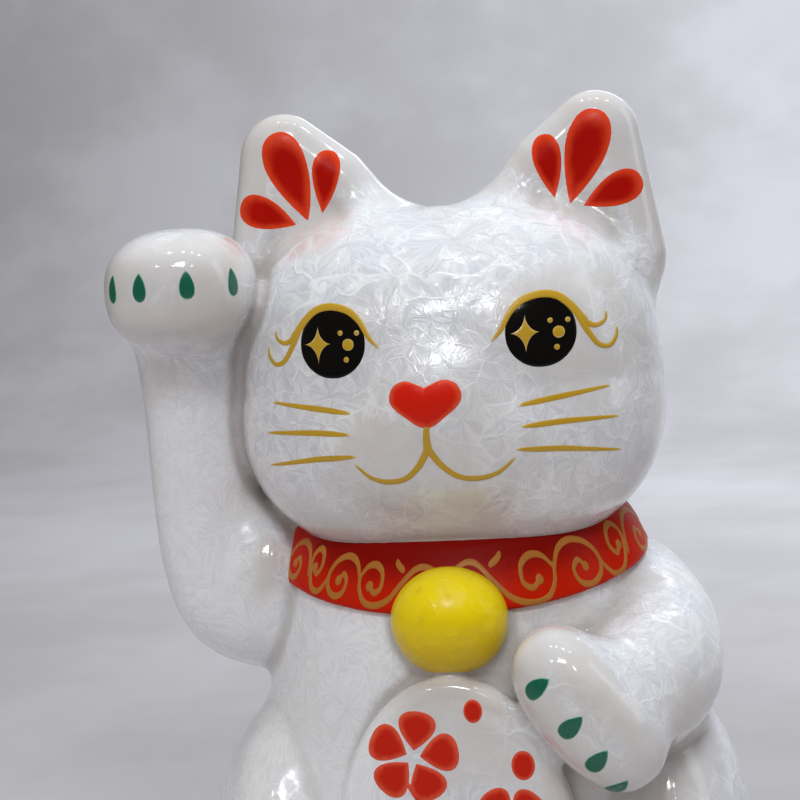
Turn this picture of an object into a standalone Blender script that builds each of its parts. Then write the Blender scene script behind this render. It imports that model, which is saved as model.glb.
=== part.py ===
"""Beckoning cat figurine: a slip-cast, glazed ceramic money bank with its moulded parts luted together.

Run it with:  blender --background --python part.py
Every length below is in millimetres and every angle in degrees. The helpers turn them into metres.
The figure faces -Y and +Z is up. Its own centre line is X = 0, Y = 0 until centre_on_base() moves the
finished parts so that the middle of the whole figure's footprint is the origin. "Left" and "right" are
the cat's own sides, so the raised right arm is at -X. The stopper's origin stays on its pull axis.
"""

import math

import bmesh
import bpy
from mathutils import Matrix, Vector

MM = 0.001
WALL = 4.5  # slip-cast wall
GAP = 0.35  # luting gap left between two castings
FLOOR_SIZE = (300.0, 300.0, 30.0)  # the cutter that levels everything off at the base
SHARP_ANGLE = 40.0  # edges sharper than this are not shaded across

# Torso: height, half width, half depth, middle in Y. The rows above the collar taper up into the head.
TORSO = (
    (0.0, 47.5, 42.0, 2.0),
    (1.2, 49.6, 44.0, 2.0),
    (5.0, 51.0, 45.5, 1.8),
    (22.0, 52.0, 46.0, 1.2),
    (44.0, 50.0, 44.0, 0.6),
    (62.0, 47.5, 41.0, 0.2),
    (78.0, 45.5, 38.0, 0.0),
    (91.0, 43.0, 35.5, 0.0),
    (101.0, 41.2, 34.0, 0.0),
    (108.0, 38.8, 31.0, 0.0),
    (114.0, 35.0, 26.5, 0.0),
    (119.0, 29.0, 21.0, 0.0),
)
TORSO_SIDES = 28
TORSO_RINGS = 17
HOLLOW_SIDES = 20
HOLLOW_RINGS = 12
HOLLOW_FLOOR_INSET = 3.0  # how much the hollow draws in at its floor
NECK_OVERRUN = 3.0  # how far the hollow's cutter stands out of the neck
CHEST_CENTRE = (0.0, -15.0, 84.0)
CHEST_RADII = (33.0, 24.5, 24.0)

# Base: a dished underside with a foot ring round it, and the stopper's hole in the middle.
DISH_DEPTH = 5.0
DISH_HALF = (38.0, 32.0)
DISH_MIDDLE_Y = 2.0
DISH_SIDES = 32
BASE_THICKNESS = 4.5
HOLE_RADIUS = 12.75
HOLE_OVERRUN = 3.0  # how far the hole's cutter stands above the base

# Head: a superellipsoid, squarer from the front than from above.
HEAD_CENTRE = (0.0, 0.0, 143.2)
HEAD_HALF = (47.6, 38.0, 38.2)
HEAD_HOLLOW_SEGMENTS = 20
HEAD_HOLLOW_RINGS = 14
HEAD_FRONT_POWER = 2.8
HEAD_DEPTH_POWER = 2.2
JAW_POWER = 1.3  # added to the depth power towards the chin, which makes the jaw heavier
CHEEK_DROP = 9.0  # the widest point sits this far below the head's middle
CHEEK_SWELL = 0.02
MUZZLE_CENTRE = (8.0, -33.0, 131.8)
MUZZLE_RADII = (12.8, 7.6, 10.5)
SLOT_SIZE = (34.0, 30.0, 4.8)
SLOT_CENTRE = (0.0, 38.0, 156.0)

# Ears: a rounded triangle, the hull of four balls flattened front to back, with a scooped front.
EAR_CORNERS = ((35.4, 4.0, 194.6), (25.4, 4.0, 186.8), (17.2, 4.0, 176.0), (40.0, 5.0, 168.0))
EAR_SHIFTS = {"left": -0.9, "right": -0.4}  # both ears sit a little towards the raised arm
EAR_BALL = (10.0, 7.6, 10.0)
SCOOP_BALL = (6.0, 5.0, 6.0)
SCOOP_SHIFT = -11.4
SCOOP_SHRINK = 0.8

# Arms: rows of x, y, z and radius along each arm, then the paw as one ellipsoid.
RAISED_ARM = (
    (-32.0, 2.0, 89.0, 12.0),
    (-42.0, 0.0, 91.0, 13.0),
    (-51.0, -2.0, 95.5, 14.8),
    (-56.2, -4.0, 106.0, 12.6),
    (-57.4, -5.0, 119.0, 12.0),
    (-57.0, -7.0, 140.0, 12.2),
    (-56.4, -11.0, 156.0, 12.8),
)
RAISED_PAW = ((-55.4, -19.5, 166.6), (15.9, 17.6, 13.2))
PAW_POWER = 2.4  # above 2, which makes the paws a little boxy
WEB = ((-42.5, -4.0, 104.0), (9.5, 14.0, 16.0))  # fills the fork between the raised arm and the neck
LOWERED_ARM = (
    (37.0, 8.0, 88.0, 15.5),
    (40.0, -5.0, 84.0, 16.4),
    (40.6, -18.0, 80.5, 15.4),
    (37.5, -30.0, 79.0, 14.0),
    (32.0, -39.0, 79.0, 12.2),
)
LOWERED_PAW = ((28.0, -47.0, 80.3), (18.5, 11.5, 10.4))
LOWERED_PAW_TURN = 52.0  # the toes' line runs down to the cat's left at this slope
END_ROUNDING = (0.92, 0.75, 0.4)  # how far past its end row each ring of a limb's round end stands
ARM_SIDES = 14
ARM_RINGS = 13
ARM_HOLLOW_SIDES = 10
ARM_HOLLOW_RINGS = 8

# Legs and tail.
HAUNCH_CENTRES = {"left": (42.5, -7.0, 35.5), "right": (-40.0, -7.0, 34.5)}
HAUNCH_RADII = (19.5, 33.0, 38.5)
FOOT_CENTRE = (33.0, -43.0, 7.5)
FOOT_RADII = (14.5, 19.5, 12.5)
TAIL = (
    (-16.0, 38.0, 8.5, 9.0),
    (-4.0, 44.0, 9.0, 9.4),
    (10.0, 46.5, 11.5, 9.2),
    (22.0, 44.5, 19.0, 8.6),
    (28.0, 40.5, 29.0, 7.8),
    (28.5, 37.5, 38.0, 6.4),
)

# What the cat wears and holds.
COLLAR_PROUD = 1.6
COLLAR_HEIGHT = 12.6
COLLAR_MIDDLE_Z = 109.9
COLLAR_TILT = 9.0
COLLAR_SLAB = 140.0  # wider than the neck, so that it only sets the band's height
BELL_CENTRE = (0.5, -38.0, 96.4)
BELL_RADII = (12.1, 10.5, 11.1)
PLAQUE_CENTRE = (0.0, -44.6, 47.2)
PLAQUE_HALF = (25.2, 39.0)
PLAQUE_THICKNESS = 10.0
PLAQUE_TILT = -5.0
PLAQUE_POWER = 2.15
PLAQUE_ROUNDING = 0.08  # share of the outline drawn in at each face
PLAQUE_SIDES = 40
NOSE_CENTRE = (-0.6, -40.0, 141.6)
NOSE_HALF = (8.4, 6.0)
NOSE_DEPTH = 6.0
NOSE_ROUNDING = 0.18
NOSE_NOTCH = 0.25
NOSE_NOTCH_WIDTH = 0.35  # in radians round the outline
NOSE_POINT = 0.55  # how much narrower the heart is at its point
NOSE_SIDES = 28

# Stopper: a tapered rubber bung with a flange, a thumb recess and a bar to pull.
FLANGE_RADIUS = 18.0
FLANGE_BOTTOM = 2.6
FLANGE_THICKNESS = 2.0
PLUG_RADIUS = (12.4, 11.4)  # at the flange and at the top
PLUG_TOP = 16.0
RECESS_RADIUS = 8.6
RECESS_TOP = 12.0
PULL_BAR = (18.0, 3.0, 2.2)
PULL_BAR_LIFT = 0.8  # the bar's underside above the flange's
STOPPER_ROUNDING = 0.5
STOPPER_STEPS = 28

# Base colour, roughness and metallic value of each finish.
FINISHES = {
    "white_glaze": ((0.82, 0.83, 0.85), 0.12, 0.0),
    "red_enamel": ((0.62, 0.03, 0.015), 0.2, 0.0),
    "yellow_enamel": ((0.80, 0.60, 0.01), 0.15, 0.0),
    "stopper_rubber": ((0.06, 0.06, 0.06), 0.6, 0.0),
}


def new_collection(name):
    collection = bpy.data.collections.new(name)
    bpy.context.scene.collection.children.link(collection)
    return collection


def finish_material(name):
    """The Principled material of one finish, made the first time it is asked for."""
    if name in bpy.data.materials:
        return bpy.data.materials[name]
    colour, roughness, metallic = FINISHES[name]
    material = bpy.data.materials.new(name)
    material.use_nodes = True
    shader = material.node_tree.nodes["Principled BSDF"]
    shader.inputs["Base Color"].default_value = (*colour, 1.0)
    shader.inputs["Roughness"].default_value = roughness
    shader.inputs["Metallic"].default_value = metallic
    return material


def object_from(name, bm, collection):
    """Turns bm, in millimetres, into an object in metres, all in triangles so that every face is flat."""
    bmesh.ops.triangulate(bm, faces=bm.faces)
    bmesh.ops.scale(bm, vec=(MM, MM, MM), verts=bm.verts)
    bmesh.ops.recalc_face_normals(bm, faces=bm.faces)
    mesh = bpy.data.meshes.new(name)
    bm.to_mesh(mesh)
    bm.free()
    made = bpy.data.objects.new(name, mesh)
    collection.objects.link(made)
    return made


def hide(guide):
    guide.hide_render = True
    guide.display_type = "WIRE"
    return guide


def catmull_rom(a, b, c, d, t):
    """The value at t between b and c, where a comes before them and d after."""
    square = 2 * a - 5 * b + 4 * c - d
    cube = 3 * b - a - 3 * c + d
    return 0.5 * (2 * b + (c - a) * t + square * t**2 + cube * t**3)


def spline(rows, count):
    """count rows spread evenly along a Catmull-Rom curve through rows of numbers."""
    found = []
    spans = len(rows) - 1
    for step in range(count):
        along = step * spans / (count - 1)
        span = min(int(along), spans - 1)
        t = along - span
        near = (rows[max(span - 1, 0)], rows[span], rows[span + 1], rows[min(span + 2, spans)])
        found.append([catmull_rom(*values, t) for values in zip(*near)])
    return found


def loft(name, rings, collection):
    """A closed skin through rings of equally many points, with a flat cap at each end."""
    bm = bmesh.new()
    loops = [[bm.verts.new(point) for point in ring] for ring in rings]
    sides = len(loops[0])
    for lower, upper in zip(loops, loops[1:]):
        for i in range(sides):
            j = (i + 1) % sides
            bm.faces.new((lower[i], lower[j], upper[j], upper[i]))
    bm.faces.new(loops[0])
    bm.faces.new(loops[-1])
    return object_from(name, bm, collection)


def oval_ring(z, half_width, half_depth, middle_y, sides):
    """A level ellipse about the centre line."""
    turns = [2 * math.pi * i / sides for i in range(sides)]
    return [Vector((half_width * math.cos(a), middle_y + half_depth * math.sin(a), z)) for a in turns]


def rounded(loop, share):
    """The ring of a ball end that stands a share of the radius past the loop."""
    centre, ahead, across, radius = loop
    return centre + ahead * radius * share, ahead, across, radius * math.sqrt(1 - share * share)


def stem(name, rows, sides, rings, collection):
    """A round limb through rows of x, y, z and radius, with a rounded end past each end row."""
    path = spline(rows, rings)
    centres = [Vector(row[:3]) for row in path]
    loops = []
    side = Vector((0.0, 1.0, 0.0))
    for i, row in enumerate(path):
        ahead = centres[min(i + 1, rings - 1)] - centres[max(i - 1, 0)]
        ahead.normalize()
        side = (side - ahead * side.dot(ahead)).normalized()
        loops.append((centres[i], ahead.copy(), side.copy(), row[3]))
    start = [rounded(loops[0], -share) for share in END_ROUNDING]
    end = [rounded(loops[-1], share) for share in reversed(END_ROUNDING)]
    rings_found = []
    for centre, ahead, across, radius in start + loops + end:
        other = ahead.cross(across)
        turns = [2 * math.pi * i / sides for i in range(sides)]
        rings_found.append([centre + (across * math.cos(a) + other * math.sin(a)) * radius for a in turns])
    return loft(name, rings_found, collection)


def ball(name, centre, radii, collection, segments=24, rings=14, turn_y=0.0, power=2.0):
    """An ellipsoid turned about its own front-to-back axis. A power above 2 makes it boxier."""
    bm = bmesh.new()
    bmesh.ops.create_uvsphere(bm, u_segments=segments, v_segments=rings, radius=1.0)
    for vertex in bm.verts:
        vertex.co /= sum(abs(value) ** power for value in vertex.co) ** (1 / power)
    place = Matrix.Translation(centre) @ Matrix.Rotation(math.radians(turn_y), 4, "Y")
    bmesh.ops.transform(bm, matrix=place @ Matrix.Diagonal((*radii, 1.0)), verts=bm.verts)
    return object_from(name, bm, collection)


def block(name, centre, size, collection, turn_x=0.0):
    bm = bmesh.new()
    bmesh.ops.create_cube(bm, size=1.0)
    place = Matrix.Translation(centre) @ Matrix.Rotation(math.radians(turn_x), 4, "X")
    bmesh.ops.transform(bm, matrix=place @ Matrix.Diagonal((*size, 1.0)), verts=bm.verts)
    return object_from(name, bm, collection)


def hull_of_balls(name, centres, radii, collection):
    """The smooth hull round one ball at each centre."""
    bm = bmesh.new()
    for centre in centres:
        place = Matrix.Translation(centre) @ Matrix.Diagonal((*radii, 1.0))
        bmesh.ops.create_uvsphere(bm, u_segments=14, v_segments=8, radius=1.0, matrix=place)
    hull = bmesh.ops.convex_hull(bm, input=bm.verts)
    spare = {v for v in hull["geom_interior"] if isinstance(v, bmesh.types.BMVert)}
    bmesh.ops.delete(bm, geom=list(spare), context="VERTS")
    loose = [f for f in bm.faces if f not in set(hull["geom"])]
    bmesh.ops.delete(bm, geom=loose, context="FACES_ONLY")
    return object_from(name, bm, collection)


def combine(target, operation, tools):
    """Joins tools to target, or cuts them from it, and keeps the result as its mesh."""
    for tool in tools:
        step = target.modifiers.new(operation.lower(), "BOOLEAN")
        step.operation = operation
        step.solver = "EXACT"
        step.object = tool
    bpy.context.view_layer.update()
    seen = target.evaluated_get(bpy.context.evaluated_depsgraph_get())
    shaped = bpy.data.meshes.new_from_object(seen)
    target.modifiers.clear()
    target.data = shaped
    return target


def copy_of(form, name, collection):
    made = bpy.data.objects.new(name, form.data.copy())
    collection.objects.link(made)
    return made


def grown(form, by=GAP):
    """A cutter: a copy of form whose skin stands out by the given distance."""
    cutter = copy_of(form, form.name + "_grown", GUIDES)
    outward = [normal.vector.copy() for normal in cutter.data.vertex_normals]
    for vertex, normal in zip(cutter.data.vertices, outward):
        vertex.co += normal * by * MM
    return hide(cutter)


def finished(part, finish):
    """Gives a part its one material and smooth shading up to its sharp edges."""
    part.data.materials.clear()
    part.data.materials.append(finish_material(finish))
    part.data.shade_smooth()
    part.data.set_sharp_from_angle(angle=math.radians(SHARP_ANGLE))


def casting(name, form, neighbours, finish, cutters=()):
    """One moulded part: its form, less the neighbours it is luted to and less the floor below the base."""
    part = copy_of(form, name, FIGURE)
    combine(part, "DIFFERENCE", [grown(n) for n in neighbours] + [FLOOR] + list(cutters))
    finished(part, finish)


def torso_form():
    rings = [oval_ring(*row, TORSO_SIDES) for row in spline(TORSO, TORSO_RINGS)]
    torso = loft("torso_form", rings, GUIDES)
    chest = ball("chest_form", CHEST_CENTRE, CHEST_RADII, GUIDES, 24, 12)
    return hide(combine(torso, "UNION", [hide(chest)]))


def torso_hollow():
    """The inside of the torso, from above the dished base out through the top of the neck."""
    floor = DISH_DEPTH + BASE_THICKNESS
    rows = [(z, a - WALL, b - WALL, y) for z, a, b, y in TORSO if z > floor]
    low, top = rows[0], rows[-1]
    rows.insert(0, (floor, low[1] - HOLLOW_FLOOR_INSET, low[2] - HOLLOW_FLOOR_INSET, low[3]))
    rows.append((top[0] + NECK_OVERRUN, *top[1:]))
    rings = [oval_ring(*row, HOLLOW_SIDES) for row in spline(rows, HOLLOW_RINGS)]
    return hide(loft("torso_hollow", rings, GUIDES))


def disc(name, low, high, half_width, half_depth, middle_y, sides):
    """An upright oval cylinder."""
    rings = [oval_ring(z, half_width, half_depth, middle_y, sides) for z in (low, high)]
    return hide(loft(name, rings, GUIDES))


def head_form(inset=0.0, segments=28, rings=18):
    """The head with its cheeks, or its inside if inset is the wall."""
    bm = bmesh.new()
    bmesh.ops.create_uvsphere(bm, u_segments=segments, v_segments=rings, radius=1.0)
    half = [h - inset for h in HEAD_HALF]
    for vertex in bm.verts:
        x, y, z = vertex.co
        power = HEAD_DEPTH_POWER + JAW_POWER * max(-z, 0.0)
        front = abs(x / half[0]) ** HEAD_FRONT_POWER + abs(z / half[2]) ** HEAD_FRONT_POWER
        whole = front ** (power / HEAD_FRONT_POWER) + abs(y / half[1]) ** power
        vertex.co /= whole ** (1 / power)
        from_cheek = (vertex.co.z + CHEEK_DROP) / half[2]
        vertex.co.x *= 1.0 - CHEEK_SWELL * (1.0 - math.cos(math.pi * from_cheek))
        vertex.co += Vector(HEAD_CENTRE)
    return hide(object_from("head_form" if not inset else "head_hollow", bm, GUIDES))


def with_muzzle(head):
    x, y, z = MUZZLE_CENTRE
    pads = [hide(ball("muzzle_pad", (side * x, y, z), MUZZLE_RADII, GUIDES, 16, 10)) for side in (-1, 1)]
    return combine(head, "UNION", pads)


def ear_form(name, side):
    corners = [Vector((side * x + EAR_SHIFTS[name], y, z)) for x, y, z in EAR_CORNERS]
    ear = hull_of_balls("ear_form", corners, EAR_BALL, GUIDES)
    middle = sum(corners, Vector()) / len(corners)
    shift = Vector((0.0, SCOOP_SHIFT, 0.0))
    inner = [middle + (corner - middle) * SCOOP_SHRINK + shift for corner in corners]
    scoop = hide(hull_of_balls("scoop_form", inner, SCOOP_BALL, GUIDES))
    return hide(combine(ear, "DIFFERENCE", [scoop]))


def arm_form(name, rows, paw, turn, inset=0.0):
    """An arm with its paw, or its inside if inset is the wall."""
    thinner = [(*row[:3], row[3] - inset) for row in rows]
    sides, rings = (ARM_HOLLOW_SIDES, ARM_HOLLOW_RINGS) if inset else (ARM_SIDES, ARM_RINGS)
    arm = stem(name, thinner, sides, rings, GUIDES)
    centre, radii = paw
    radii = [radius - inset for radius in radii]
    hand = hide(ball(name + "_paw", centre, radii, GUIDES, sides + 4, sides - 2, turn, PAW_POWER))
    return hide(combine(arm, "UNION", [hand]))


def outline_plate(name, outline, thickness, rounding, middle, tilt):
    """A plate with rounded edges: outline is a closed list of (across, up), and the plate faces -Y."""
    edge = 0.5 - rounding * 2
    levels = ((0.5, 1 - rounding), (edge, 1.0), (-edge, 1.0), (-0.5, 1 - rounding))
    place = Matrix.Translation(middle) @ Matrix.Rotation(math.radians(tilt), 4, "X")
    rings = []
    for depth, size in levels:
        rings.append([place @ Vector((x * size, depth * thickness, z * size)) for x, z in outline])
    return hide(loft(name, rings, GUIDES))


def plaque_form():
    outline = []
    for i in range(PLAQUE_SIDES):
        a = 2 * math.pi * i / PLAQUE_SIDES
        c, s = math.cos(a), math.sin(a)
        across = PLAQUE_HALF[0] * math.copysign(abs(c) ** (2 / PLAQUE_POWER), c)
        outline.append((across, PLAQUE_HALF[1] * math.copysign(abs(s) ** (2 / PLAQUE_POWER), s)))
    depth = PLAQUE_THICKNESS
    return outline_plate("plaque_form", outline, depth, PLAQUE_ROUNDING, PLAQUE_CENTRE, PLAQUE_TILT)


def nose_form():
    """A heart: a soft triangle, point down, with a shallow notch in its top."""
    outline = []
    for i in range(NOSE_SIDES):
        a = 2 * math.pi * i / NOSE_SIDES
        notch = 1.0 - NOSE_NOTCH * math.exp(-(((a - math.pi / 2) / NOSE_NOTCH_WIDTH) ** 2))
        point = 1.0 + NOSE_POINT * min(math.sin(a), 0.0)
        outline.append((NOSE_HALF[0] * notch * point * math.cos(a), NOSE_HALF[1] * notch * math.sin(a)))
    return outline_plate("nose_form", outline, NOSE_DEPTH, NOSE_ROUNDING, NOSE_CENTRE, 0.0)


def collar_form(torso):
    """A band that follows the neck, kept between two tilted planes."""
    band = grown(torso, COLLAR_PROUD)
    middle = (0.0, 0.0, COLLAR_MIDDLE_Z)
    size = (COLLAR_SLAB, COLLAR_SLAB, COLLAR_HEIGHT)
    slab = hide(block("collar_slab", middle, size, GUIDES, COLLAR_TILT))
    return hide(combine(band, "INTERSECT", [slab]))


def mirrored(values, side):
    return (side * values[0], *values[1:])


def raised_arm_form():
    arm = arm_form("raised_form", RAISED_ARM, RAISED_PAW, 0.0)
    web = hide(ball("web_form", *WEB, GUIDES, 18, 12))
    return hide(combine(arm, "UNION", [web]))


def haunch_form(side):
    return hide(ball("haunch_form", HAUNCH_CENTRES[side], HAUNCH_RADII, GUIDES))


def haunch_hollow(side):
    inside = [radius - WALL for radius in HAUNCH_RADII]
    return hide(ball("haunch_hollow", HAUNCH_CENTRES[side], inside, GUIDES, 18, 10))


def stopper_profile():
    """The bung's outline as (radius, z), from the middle of its top round to the middle of its recess."""
    bottom, shoulder = FLANGE_BOTTOM, FLANGE_BOTTOM + FLANGE_THICKNESS
    r = STOPPER_ROUNDING
    return (
        (0.0, PLUG_TOP),
        (PLUG_RADIUS[1] - 2 * r, PLUG_TOP),
        (PLUG_RADIUS[1], PLUG_TOP - 2 * r),
        (PLUG_RADIUS[0], shoulder),
        (FLANGE_RADIUS - r, shoulder),
        (FLANGE_RADIUS, shoulder - r),
        (FLANGE_RADIUS, bottom + r),
        (FLANGE_RADIUS - r, bottom),
        (RECESS_RADIUS + r, bottom),
        (RECESS_RADIUS, bottom + r),
        (RECESS_RADIUS - r, RECESS_TOP - 2 * r),
        (RECESS_RADIUS - 3 * r, RECESS_TOP),
        (0.0, RECESS_TOP),
    )


def base_stopper():
    """The rubber bung: a turned profile, and the bar across its thumb recess."""
    bm = bmesh.new()
    points = [bm.verts.new((radius, 0.0, z)) for radius, z in stopper_profile()]
    for one, next_one in zip(points, points[1:]):
        bm.edges.new((one, next_one))
    stopper = object_from("base_stopper", bm, FIGURE)
    turned = stopper.modifiers.new("turned", "SCREW")
    turned.steps = turned.render_steps = STOPPER_STEPS
    turned.use_merge_vertices = True
    turned.merge_threshold = 0.00001
    bar_z = FLANGE_BOTTOM + PULL_BAR_LIFT + PULL_BAR[2] / 2
    bar = hide(block("pull_bar", (0.0, 0.0, bar_z), PULL_BAR, GUIDES))
    combine(stopper, "UNION", [bar])
    finished(stopper, "stopper_rubber")


def centre_on_base():
    """Moves every part so that the footprint's middle is X = 0, Y = 0."""
    bpy.context.view_layer.update()
    corners = [part.matrix_world @ Vector(c) for part in FIGURE.objects for c in part.bound_box]
    low = Vector([min(c[i] for c in corners) for i in range(3)])
    high = Vector([max(c[i] for c in corners) for i in range(3)])
    shift = Vector((-(low.x + high.x) / 2, -(low.y + high.y) / 2, -low.z))
    for part in FIGURE.objects:
        part.location += shift


def build():
    torso = torso_form()
    head = with_muzzle(head_form())
    ears = {name: ear_form(name, k) for name, k in SIDES}
    raised = raised_arm_form()
    lowered = arm_form("lowered_form", LOWERED_ARM, LOWERED_PAW, LOWERED_PAW_TURN)
    haunches = {side: haunch_form(side) for side in HAUNCH_CENTRES}
    bell = hide(ball("bell_form", BELL_CENTRE, BELL_RADII, GUIDES, 24, 14))
    plaque = plaque_form()
    collar = collar_form(torso)

    dish = disc("dish", -1.0, DISH_DEPTH, *DISH_HALF, DISH_MIDDLE_Y, DISH_SIDES)
    hole_top = DISH_DEPTH + BASE_THICKNESS + HOLE_OVERRUN
    hole = disc("stopper_hole", 0.0, hole_top, HOLE_RADIUS, HOLE_RADIUS, 0.0, STOPPER_STEPS)
    slot = hide(block("coin_slot", SLOT_CENTRE, SLOT_SIZE, GUIDES))

    casting("torso_shell", torso, [], "white_glaze", [torso_hollow(), dish, hole])
    head_hollow = head_form(WALL, HEAD_HOLLOW_SEGMENTS, HEAD_HOLLOW_RINGS)
    casting("head_shell", head, [torso], "white_glaze", [head_hollow, slot])
    for side, ear in ears.items():
        casting(side + "_ear", ear, [head], "white_glaze")
    raised_hollow = arm_form("raised_hollow", RAISED_ARM, RAISED_PAW, 0.0, WALL)
    casting("raised_arm", raised, [torso, head, ears["right"]], "white_glaze", [raised_hollow])
    lowered_hollow = arm_form("lowered_hollow", LOWERED_ARM, LOWERED_PAW, LOWERED_PAW_TURN, WALL)
    casting("lowered_arm", lowered, [torso, head, plaque, collar], "white_glaze", [lowered_hollow])
    casting("collar_band", collar, [torso, head, raised], "red_enamel")
    casting("collar_bell", bell, [torso, head, collar], "yellow_enamel")
    casting("coin_plaque", plaque, [torso, bell], "white_glaze")
    for side, k in SIDES:
        neighbours = [torso, lowered, raised, plaque]
        casting(side + "_haunch", haunches[side], neighbours, "white_glaze", [haunch_hollow(side)])
        foot = hide(ball("foot_form", mirrored(FOOT_CENTRE, k), FOOT_RADII, GUIDES, 18, 12))
        casting(side + "_foot", foot, [torso, haunches[side], plaque], "white_glaze")
    tail = hide(stem("tail_form", TAIL, 12, 12, GUIDES))
    casting("tail", tail, [torso, haunches["left"], haunches["right"]], "white_glaze")
    casting("nose", nose_form(), [head], "red_enamel")
    base_stopper()
    centre_on_base()


for old in list(bpy.data.objects):
    bpy.data.objects.remove(old)
SIDES = (("left", 1), ("right", -1))
FIGURE = new_collection("beckoning_cat")
GUIDES = new_collection("guides")
FLOOR = hide(block("floor", (0.0, 0.0, -FLOOR_SIZE[2] / 2), FLOOR_SIZE, GUIDES))
build()
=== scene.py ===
"""Looks of the beckoning cat figurine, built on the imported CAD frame.

Tables of places and sizes are in millimetres about the figure's own centre line, with the figure facing -Y.
A side of 1 is the figure's left and -1 its right.
"""

import math
from functools import reduce

import bpy
import numpy as np
from mathutils import Matrix, Vector


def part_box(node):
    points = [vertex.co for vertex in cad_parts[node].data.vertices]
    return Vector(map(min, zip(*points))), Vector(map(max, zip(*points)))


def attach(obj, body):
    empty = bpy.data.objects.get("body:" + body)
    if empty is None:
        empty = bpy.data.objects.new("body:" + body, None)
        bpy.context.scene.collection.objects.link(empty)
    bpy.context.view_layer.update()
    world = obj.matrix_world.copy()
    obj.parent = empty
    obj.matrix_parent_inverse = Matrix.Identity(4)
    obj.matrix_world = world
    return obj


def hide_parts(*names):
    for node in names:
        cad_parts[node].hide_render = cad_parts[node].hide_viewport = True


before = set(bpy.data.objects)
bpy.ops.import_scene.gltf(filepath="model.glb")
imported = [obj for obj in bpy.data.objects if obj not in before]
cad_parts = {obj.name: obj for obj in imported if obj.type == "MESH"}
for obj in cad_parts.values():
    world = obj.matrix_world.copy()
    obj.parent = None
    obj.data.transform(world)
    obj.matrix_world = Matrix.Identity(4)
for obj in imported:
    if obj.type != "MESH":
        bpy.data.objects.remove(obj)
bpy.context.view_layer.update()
MM = 0.001
low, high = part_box("base_stopper")
ORIGIN = np.array([(low[0] + high[0]) / 2, (low[1] + high[1]) / 2, 0.0]) / MM
STEP = 1.0  # grid of the casting's skin

# ---- forms: the CAD parts' sizes again, for distance fields that can be blended
WALL = 4.5
TORSO = (  # height, half width, half depth and middle in Y
    (0.0, 47.5, 42.0, 2.0),
    (1.2, 49.6, 44.0, 2.0),
    (5.0, 51.0, 45.5, 1.8),
    (22.0, 52.0, 46.0, 1.2),
    (44.0, 50.0, 44.0, 0.6),
    (62.0, 47.5, 41.0, 0.2),
    (78.0, 45.5, 38.0, 0.0),
    (91.0, 43.0, 35.5, 0.0),
    (101.0, 41.2, 34.0, 0.0),
    (108.0, 38.8, 31.0, 0.0),
    (114.0, 35.0, 26.5, 0.0),
    (119.0, 29.0, 21.0, 0.0),
)
TORSO_TOP = 120.0
CHEST_CENTRE, CHEST_RADII = (0.0, -15.0, 84.0), (33.0, 24.5, 24.0)

# the hollow, the dished base with its stopper hole, and the coin slot
HOLLOW_FLOOR, HOLLOW_TOP = 9.5, 123.0
DISH_HALF, DISH_MIDDLE_Y, DISH_DEPTH = (38.0, 32.0), 2.0, 5.0
DISH_SLOPE = 34.0  # turns the oval's share of its size into millimetres
HOLE_RADIUS, HOLE_TOP = 12.75, 14.0
SLOT_CENTRE, SLOT_HALF = (0.0, 38.0, 156.0), (17.0, 15.0, 2.4)

HEAD_CENTRE, HEAD_HALF = (0.0, 0.0, 143.2), (47.6, 38.0, 38.2)
HEAD_FRONT_POWER, HEAD_DEPTH_POWER = 2.8, 2.2
JAW_POWER = 1.3  # added to the depth power towards the chin, which makes the jaw heavier
CHEEK_DROP, CHEEK_SWELL = 9.0, 0.02
MUZZLE_CENTRE, MUZZLE_RADII = (8.0, -33.0, 131.8), (12.8, 7.6, 10.5)
BRIDGE_CENTRE, BRIDGE_RADII = (0.0, -33.5, 142.0), (10.5, 7.2, 9.0)

EAR_CORNERS = ((35.4, 194.6), (25.4, 186.8), (17.2, 176.0), (40.0, 168.0))
EAR_Y = 4.3
EAR_SHIFTS = {1: -0.9, -1: -0.4}  # both ears sit a little towards the raised arm
EAR_LOW, EAR_HIGH = (7.0, -4.0, 158.0), (49.5, 12.5, 205.0)  # a box round the left ear
EAR_ROUNDING = 10.0  # how far the outline stands out of its corners
EAR_HEIGHTS, EAR_HALF_THICK = (175.0, 200.0), (7.6, 6.0)
SCOOP_SHRINK, SCOOP_RADIUS, SCOOP_SHIFT, SCOOP_SQUASH = 0.72, 7.4, 12.0, 1.2

RAISED_ARM = (
    (-32.0, 2.0, 89.0, 12.0),
    (-42.0, 0.0, 91.0, 13.0),
    (-51.0, -2.0, 95.5, 14.8),
    (-56.2, -4.0, 106.0, 12.6),
    (-57.4, -5.0, 119.0, 12.0),
    (-57.0, -7.0, 140.0, 12.2),
    (-56.4, -11.0, 156.0, 12.8),
)
RAISED_PAW = ((-55.4, -19.5, 166.6), (15.9, 17.6, 13.2))
PAW_POWER = 2.4  # above 2, which makes the paws a little boxy
WEB = ((-42.0, -5.0, 99.5), (9.5, 14.0, 16.0))  # lower than the CAD's, so that the collar's end shows
LOWERED_ARM = (
    (37.0, 8.0, 88.0, 15.5),
    (40.0, -5.0, 84.0, 16.4),
    (40.6, -18.0, 80.5, 15.4),
    (37.5, -30.0, 79.0, 14.0),
    (32.0, -39.0, 79.0, 12.2),
)
LOWERED_PAW = ((28.0, -47.0, 80.3), (18.5, 11.5, 10.4))
LOWERED_PAW_TURN = 52.0  # the toes' line runs down to the cat's left at this slope
HAUNCH_CENTRES, HAUNCH_RADII = {1: (42.5, -7.0, 35.5), -1: (-40.0, -7.0, 34.5)}, (19.5, 33.0, 38.5)
FOOT_CENTRE, FOOT_RADII = (33.0, -43.0, 7.5), (14.5, 19.5, 12.5)
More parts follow.
